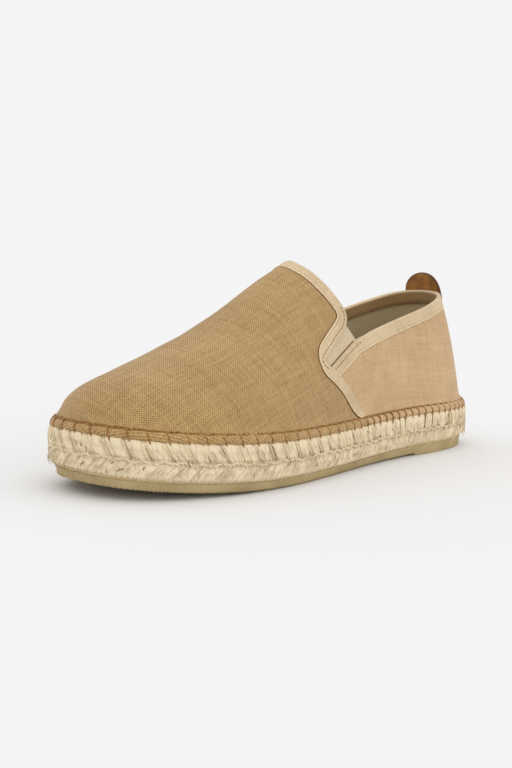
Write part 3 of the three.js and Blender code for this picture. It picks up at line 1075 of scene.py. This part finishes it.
def rimLine(places, insets, heights):
    # a line round the rim: heights are over the sole's foot
    side = np.where(np.mod(places, girth) <= outlineAlong[len(denseTurns) - 1], 1.0, -1.0)
    points = rimPoint(places, 0, juteFoot)
    ahead = rimPoint(np.asarray(places) + 0.4, 0, juteFoot) - rimPoint(np.asarray(places) - 0.4, 0, juteFoot)
    way = unit(np.stack([ahead[:, 1], -ahead[:, 0], 0 * ahead[:, 0]], -1))
    hub = points * np.array([0, 0.85, 0])
    way *= np.sign(np.sum(way[:, :2] * (points - hub)[:, :2], axis=1))[:, None]
    line = points - way * np.asarray(insets)[:, None]
    line[:, 2] = points[:, 2] + heights
    return line, way


def shareAtPlace(place):
    return float((half - rimPoint(place, 0, juteFoot)[1]) / shoe["length"])


def upperBundles():
    # a bundle of straight strands between each pair of stitches, its edges sunk into the gaps
    lines = []
    for k in range(stitchCount):
        start, stop = float(placeAt(k + 0.03)), float(placeAt(k + 0.97))
        stop = stop if stop > start else stop + girth
        middle, width = (start + stop) / 2, stop - start
        ahead = smoothRamp(shareAtPlace(middle), 0.36, 0.56)
        slant = 1.8 + 4.4 * ahead + (1.8 - 0.8 * ahead) * chance.uniform(-1.3, 0.9)
        foot = braid["middle"] - 0.6 + chance.uniform(-0.5, 0.5)
        foot -= 2.2 * (1 - ahead) * chance.uniform(-0.6, 1)
        bend = (0.3 + 0.9 * (1 - ahead)) * chance.uniform(-1, 1)
        gather = chance.uniform(0.02, 0.22)
        lift = chance.uniform(-0.1, 0.35) * (1 - 0.5 * ahead)
        count = int(round(width / braid["upperPitch"]))
        for j in range(count):
            aside = (j + 0.5 + chance.uniform(-0.2, 0.2)) / count - 0.5
            t = np.linspace(0, 1, 12)
            top = shoe["juteThick"] + 0.6
            heights = top - (top - foot + chance.uniform(-0.4, 0.4)) * t
            tuck = 2.5 * np.clip(1 - t / 0.14, 0, 1) ** 1.5 + 1.3 * np.clip((t - 0.74) / 0.26, 0, 1) ** 1.5
            sunk = (0.7 + 0.55 * ahead) * abs(2 * aside) ** 2.5
            insets = 0.62 + lift + tuck + sunk + chance.uniform(-0.18, 0.22)
            places = middle + aside * width * (1 - gather * t)
            places = places + (slant + chance.uniform(-0.35, 0.35)) * (0.5 - t)
            line, way = rimLine(places + bend * np.sin(math.pi * t), insets, heights)
            lines.append((line, way, chance.uniform(1.5, 2.3), chance.random()))
    return lines


def lowerStrands():
    count = int(round(girth / braid["lowerPitch"]))
    lines = []
    group, sink, swing = 0, 0.0, 0.0
    for k in range(count):
        if group == 0:
            group, sink, swing = chance.randint(2, 5), chance.uniform(0, 0.45), chance.uniform(-0.9, 0.9)
        group -= 1
        middle = (k + chance.uniform(-0.3, 0.3)) * girth / count
        ahead = smoothRamp(shareAtPlace(middle), 0.2, 0.5)
        slant = 3.2 + 5.2 * ahead + swing
        t = np.linspace(0, 1, 12)
        top = braid["middle"] + chance.uniform(0.1, 0.9)
        heights = top - (top - 0.95) * t ** 0.9
        tuck = 1.1 * np.clip(1 - t / 0.25, 0, 1) ** 1.5 + 3.4 * np.clip((t - 0.78) / 0.22, 0, 1) ** 2
        insets = 0.62 + tuck + sink * (1 if group else 1.8) + chance.uniform(-0.15, 0.2) + 0.5 * t
        places = middle + slant * (t - 0.5) + chance.uniform(-0.35, 0.35) * np.sin(math.pi * t)
        line, way = rimLine(places, insets, heights)
        lines.append((line, way, chance.uniform(1.5, 2.4), chance.random()))
    return lines


def middleStrands():
    lines = []
    places = np.arange(0, girth + 0.5, 0.55)
    phase = phaseAt(places)
    for ply in range(2):
        turn = 2 * math.pi * places / 4.6 + ply * math.pi
        wander = 0.45 * np.sin(2 * math.pi * phase) + 0.3 * np.sin(places * 0.21)
        line, way = rimLine(places, 0.75 - 0.42 * np.cos(turn) - 0.25 * np.sin(math.pi * phase) ** 2,
                            braid["middle"] + wander + 0.42 * np.sin(turn))
        lines.append((line, way, 0.95, chance.random()))
    return lines


def looseFibres(count, low, high, size):
    lines = []
    for _ in range(count):
        place = chance.uniform(0, girth)
        upper = chance.random() < 0.5
        top = chance.uniform(10, 18) if upper else chance.uniform(4, 9.5)
        drop = chance.uniform(low, high) * (0.75 if upper else 0.6)
        sense = -1 if upper else 1
        t = np.linspace(0, 1, 6)
        drift = sense * drop * chance.uniform(0.1, 1.1) + chance.uniform(-1.5, 1.5)
        lift = chance.uniform(0.0, 0.5)
        insets = 0.25 - lift * np.sin(math.pi * t) * (1 + t)
        heights = np.clip(top - drop * t, 0.6, 18.0)
        bend = chance.uniform(-1, 1) * np.sin(math.pi * t)
        line, way = rimLine(place + drift * t + bend, insets, heights)
        lines.append((line, way, size * chance.uniform(0.7, 1.4), chance.random()))
    return lines


def sweepSettings(sides, depth, material, ribDepth=0.0):
    return {"Sides": sides, "Width": millimetre, "Depth": depth * millimetre, "Ribs": 3.0,
            "Rib Depth": ribDepth, "Material": material}


strandLook = sweepSettings(braid["sides"], 0.6, juteFibre, 0.02)
fuzzLook = {**sweepSettings(4, 1, juteFibre), "Ribs": 1.0}
fleckLook = {**sweepSettings(4, 1, fleckFibre), "Ribs": 1.0}
finished(grown("juteUpper", upperBundles(), sweepTree, strandLook), "jute", "midsole")
finished(grown("juteLower", lowerStrands(), sweepTree, strandLook), "jute")
finished(grown("juteCord", middleStrands(), sweepTree, sweepSettings(8, 1, juteFibre)), "jute")
finished(grown("juteFuzz", looseFibres(1700, 3, 10, 0.14), sweepTree, fuzzLook), "jute")
finished(grown("juteFlecks", looseFibres(60, 1.5, 4, 0.24), sweepTree, fleckLook), "jute")
print("braid laid")


def hemLine():
    places = np.arange(0, girth + 0.4, 0.45)
    phase = phaseAt(places)
    sag = np.abs(np.sin(math.pi * phase)) ** 0.5
    height = shoe["juteThick"] + shoe["hemBand"]
    lines = []
    for lift, inset in ((0.15, 2.95), (-0.42, 2.65)):
        line, way = rimLine(places, inset - 0.12 * sag, height + lift - 0.35 + 0.4 * sag)
        lines.append((line, way, 0.62, chance.random()))
    return lines


def hemLegs():
    lines = []
    height = shoe["juteThick"] + shoe["hemBand"]
    for k in range(stitchCount):
        place = float(placeAt(k))
        ahead = smoothRamp(shareAtPlace(place), 0.36, 0.56)
        slant = 1.4 + 1.6 * ahead + chance.uniform(-0.3, 0.3)
        reach = 6.4 + 2.0 * ahead + chance.uniform(-0.6, 0.6)
        t = np.linspace(0, 1, 12)
        drop = reach * t
        insets = np.interp(drop, [0, 0.7, 1.6, 2.6, 3.6, 4.4, 5.4, reach + 0.1],
                           [2.75, 2.2, 1.35, 0.95, 0.75, 0.85, 0.75, 1.5])
        bow = (0.7 - 0.5 * ahead) * np.sin(math.pi * np.clip(drop / 4.6, 0, 1))
        line, way = rimLine(place + slant * (0.45 - t) - bow, insets, height - drop + 0.1)
        lines.append((line, way, 1.05 - 0.35 * t, chance.random()))
    return lines


lineLook = sweepSettings(hem["threadSides"], 0.9, waxedThread)
legLook = sweepSettings(hem["threadSides"], 0.8, waxedThread)
finished(grown("hemThread", hemLine(), sweepTree, lineLook), "thread")
finished(grown("hemStitches", hemLegs(), sweepTree, legLook), "thread")

# Stitch rows on the tapes


def besidePath(frames, reach, over, first, last):
    line = laidOn(frames, reach, over)[first:last]
    return (line, frames[1][first:last], 1.0, 0.5)


def stitchRows():
    rows = []
    count = len(vampFrames[0])
    notch = [i for i in range(count) if 55 < vampFrames[0][i][2] < 84]
    for first, last in ((min(notch), max(i for i in notch if i < count / 2)),
                        (min(i for i in notch if i > count / 2), max(notch))):
        rows.append(besidePath(vampFrames, 1.5, tape["thick"] + 0.05, first, last))
    rows.append(besidePath(vampFrames, vampWidth - 1.1, tape["thick"] + 0.02, 2, count - 2))
    size = len(collarFrames[0])
    rows.append(besidePath(collarFrames, 1.5, tape["thick"] - 0.25, 2, 40))
    rows.append(besidePath(collarFrames, 1.5, tape["thick"] - 0.25, size - 40, size - 2))
    return rows


def sideRows():
    return [besidePath(collarFrames, tape["width"] - 1.0, tape["thick"] - 0.28, 2, len(collarFrames[0]) - 2)]


finished(grown("gussetStitches", stitchRows()[:2] + stitchRows()[3:], stitchTree,
               {"Pitch": 0.0021, "Length": 0.0015, "Thread": 0.00045, "Material": brownThreadAndShadow}), "thread")
finished(grown("edgeStitches", [stitchRows()[2], *sideRows()], stitchTree,
               {"Pitch": 0.0024, "Length": 0.0019, "Thread": 0.00042, "Material": paleThread}), "thread")


def edgeCord(frames, reach, over, size):
    return (laidOn(frames, reach, over), frames[1], size, 0.5)


# dark cords along the quarter's front edges: painted shadow in the gaps beside the gussets
def gapShadowCords():
    size = len(collarFrames[0])
    line = laidOn(collarFrames, -0.95, -1.1)
    return [(line[a:b], collarFrames[1][a:b], 1.1, 0.5) for a, b in ((1, 36), (size - 36, size - 1))]


# the dark cord beside the vamp tape is painted shadow of the tape's step
finished(grown("tapeShadow", [edgeCord(vampFrames, vampWidth + 0.15, 0.02, 0.55), *gapShadowCords()], sweepTree,
               sweepSettings(6, 0.8, brownThreadAndShadow)), "thread")
# pale cords on the tapes' raised edges: real ridges, coloured paler than the tape as a painted highlight
edgeHighlightCords = [edgeCord(vampFrames, vampWidth - 0.22, tape["thick"] + 0.08, 0.7),
             edgeCord(collarFrames, tape["width"] - 0.32, tape["thick"] - 0.34, 0.62)]
finished(grown("tapeEdgeHighlight", edgeHighlightCords, sweepTree, sweepSettings(6, 0.8, edgeHighlightThread)), "binding")
print("stitches laid")

# Pull tab: a rounded piece of leather behind the heel

tab = {"width": 24.5, "above": 10.6, "below": 9, "topRound": 12, "footRound": 5, "thick": 1.7, "over": 0.55,
       "rim": 0.5}


def roundedRectangle(width, low, high, footRound, topRound, steps=10):
    corners = [(width / 2, low, footRound, -90), (width / 2, high, topRound, 0),
               (-width / 2, high, topRound, 90), (-width / 2, low, footRound, 180)]
    line = []
    for x, z, cut, start in corners:
        hub = np.array([x - math.copysign(cut, x), z + (cut if z == low else -cut)])
        for a in np.radians(np.linspace(start, start + 90, steps)):
            line.append(hub + cut * np.array([math.cos(a), math.sin(a)]))
    return np.array(line)


def heelSkin(x, z):
    hit = skinTree.ray_cast(Vector((x, half + 60, z)), Vector((0, -1, 0)))
    return np.array(hit[0]), np.array(hit[1]) * math.copysign(1, hit[1][1])


def pullTab():
    middle = float(centreLine(0))
    low, high = collar["backHeight"] - tab["below"], collar["backHeight"] + tab["above"]
    outline = roundedRectangle(tab["width"], low, high, tab["footRound"], tab["topRound"])
    centre = outline.mean(axis=0)
    rim = tab["rim"]
    reach = np.linalg.norm(outline - centre, axis=1)[:, None]

    def shrink(by):
        return centre + (outline - centre) * (1 - by / reach)

    thick = tab["thick"]
    layers = [(shrink(reach * (1 - s)), thick) for s in (0.12, 0.3, 0.5, 0.7, 0.85)]
    layers += [(shrink(1.3), thick), (shrink(rim), thick), (shrink(rim * 0.3), thick - rim * 0.3)]
    layers += [(shrink(0), thick - rim), (shrink(0), rim), (shrink(rim * 0.3), rim * 0.3), (shrink(rim), 0)]
    layers += [(shrink(reach * (1 - s)), 0) for s in (0.85, 0.7, 0.5, 0.3, 0.12)]
    points, uvs = [], []
    for ring, over in layers:
        for x, z in ring:
            spot, normal = heelSkin(x + middle, z)
            points.append(spot + normal * (over + tab["over"]))
            uvs.append((x, z))
    count = len(outline)
    faces = gridFaces(len(layers), count, closeColumns=True)
    faces += [tuple(range(count)), tuple(range((len(layers) - 1) * count, len(layers) * count))]
    piece = makeObject("pullTab", points, faces, leather, uvs)
    edge = piece.data.attributes.new("edge", "FLOAT", "POINT")
    edge.data.foreach_set("value", np.repeat([0.9 if 7 <= k <= 10 else 0.25 if k in (6, 11) else 0
                                              for k in range(len(layers))], count).astype(np.float32))
    return recalculate(piece)


def tabStitches():
    middle = float(centreLine(0))
    outline = roundedRectangle(tab["width"] - 4.4, collar["backHeight"] - tab["below"] + 2.2,
                               collar["backHeight"] - 1.5, tab["footRound"] - 2, 1.0)
    line = evenly(np.concatenate([outline, outline[:1]]), 0.6)
    rows = [heelSkin(x + middle, z) for x, z in line]
    return [(np.array([spot + normal * (tab["thick"] + tab["over"] + 0.05) for spot, normal in rows]),
             np.array([normal for _, normal in rows]), 1.0, 0.5)]


finished(pullTab(), "leather", "pull_tab")
finished(grown("tabStitches", tabStitches(), stitchTree,
               {"Pitch": 0.0026, "Length": 0.0021, "Thread": 0.0005, "Material": waxedThread}), "thread")

# Insole, the braid's core and the rubber tread


def makeLoft(name, layers, count, material):
    turns = np.arccos(1 - 2 * np.linspace(0, 1, count))
    ring = np.concatenate([turns, turns[::-1][1:-1]])
    sides = np.concatenate([np.ones(count), -np.ones(count - 2)])
    rows = [soleEdge(ring, sides, inset, surface, over) for inset, surface, over in layers]
    along = lengthsAlong(rows[0])
    uvs = [(a, 2.0 * k) for k in range(len(rows)) for a in along]
    faces = gridFaces(len(rows), len(ring), closeColumns=True)
    for base in (0, (len(rows) - 1) * len(ring)):
        for i in range(count - 1):
            corners = [i, i + 1, (len(ring) - i - 1) % len(ring), (len(ring) - i) % len(ring)]
            unique = list(dict.fromkeys(corners))
            if len(unique) > 2:
                faces.append(tuple(base + c for c in unique))
    return recalculate(makeObject(name, np.concatenate(rows), faces, material, uvs))


tread = {"ribPitch": 1.55, "ribDepth": 0.8}


def treadFoot(share):
    ribs = tread["ribDepth"] * (0.5 - 0.5 * np.cos(2 * math.pi * share * shoe["length"] / tread["ribPitch"]))
    return np.where(share < shoe["heelBreast"], 0.0, underside(share) + ribs * smoothRamp(share, 0.3, 0.42))


def rubberFoot(share):
    return np.where(share < shoe["heelBreast"], 0.0, underside(share))


# layers from the foot up: (inset from the sole's edge, the surface it follows, height over it)
insoleLayers = [(7.0, hemTop, 0.2), (6.9, hemTop, 1.5), (7.2, hemTop, 2.1), (8.2, hemTop, 2.4)]
coreLayers = [(3.6, juteFoot, 0.2), (2.4, juteFoot, 2), (2.0, juteFoot, 7), (2.6, juteFoot, 9),
              (2.0, juteFoot, 12), (2.4, hemFoot, -1), (5.3, hemTop, -0.6)]
outsoleLayers = [(4.8, treadFoot, 0.0), (4.4, treadFoot, 0.05), (4.05, rubberFoot, 0.75),
                 (3.75, juteFoot, -1.2), (3.3, juteFoot, -0.5), (3.3, juteFoot, 0.0), (3.9, juteFoot, 0.35)]
finished(makeLoft("insole", insoleLayers, 160, sockCloth), "sock", "insole")
finished(makeLoft("juteCore", coreLayers, 200, juteCoreShaded), "jute")
finished(makeLoft("outsole", outsoleLayers, 740, rubber), "rubber", "outsole")
print("sole made")

# Floor, light and camera

stage = {"camera": (363.0, -404.4, 100.9), "aim": (-15, -12, 41), "roll": 1.74, "lens": 48.132, "sensor": 36,
         "room": 0.90, "floor": 0.78, "floorRadius": 60}
# suns: name, where it comes from, strength, spread in degrees
suns = [("key", (-0.25, -0.7, 1.7), 0.50, 80), ("side", (1.2, 0.25, 1.0), 0.60, 80)]


def makeStage():
    bpy.ops.mesh.primitive_circle_add(vertices=96, radius=stage["floorRadius"], fill_type="NGON")
    floor = bpy.context.object
    floor.name = "floor"
    material, tree, shader = makeMaterial("floorPaint", 0.9)
    shader.inputs["Base Color"].default_value = (*(stage["floor"],) * 3, 1)
    shader.inputs["Specular IOR Level"].default_value = 0
    floor.data.materials.append(material)
    world = bpy.data.worlds.new("softRoom")
    world.use_nodes = True
    world.node_tree.nodes["Background"].inputs[0].default_value = (*(stage["room"],) * 3, 1)
    bpy.context.scene.world = world
    for name, way, power, spread in suns:
        light = bpy.data.lights.new(name, "SUN")
        light.energy = power
        light.angle = math.radians(spread)
        lamp = bpy.data.objects.new(name, light)
        lamp.rotation_euler = (-Vector(way)).to_track_quat("-Z", "Y").to_euler()
        bpy.context.scene.collection.objects.link(lamp)


def makeCamera():
    lens = bpy.data.cameras.new("camera")
    lens.sensor_width = stage["sensor"]
    lens.lens = stage["lens"]
    lens.clip_start = 0.01
    camera = bpy.data.objects.new("camera", lens)
    place = Vector(inMetres([stage["camera"]])[0])
    aim = Vector(inMetres([stage["aim"]])[0])
    turn = (aim - place).to_track_quat("-Z", "Y").to_matrix()
    roll = Euler((0, 0, math.radians(stage["roll"]))).to_matrix()
    camera.matrix_world = (turn @ roll).to_4x4()
    camera.location = place
    bpy.context.scene.collection.objects.link(camera)
    bpy.context.scene.camera = camera


makeStage()
makeCamera()
bpy.context.scene.view_settings.view_transform = "Standard"
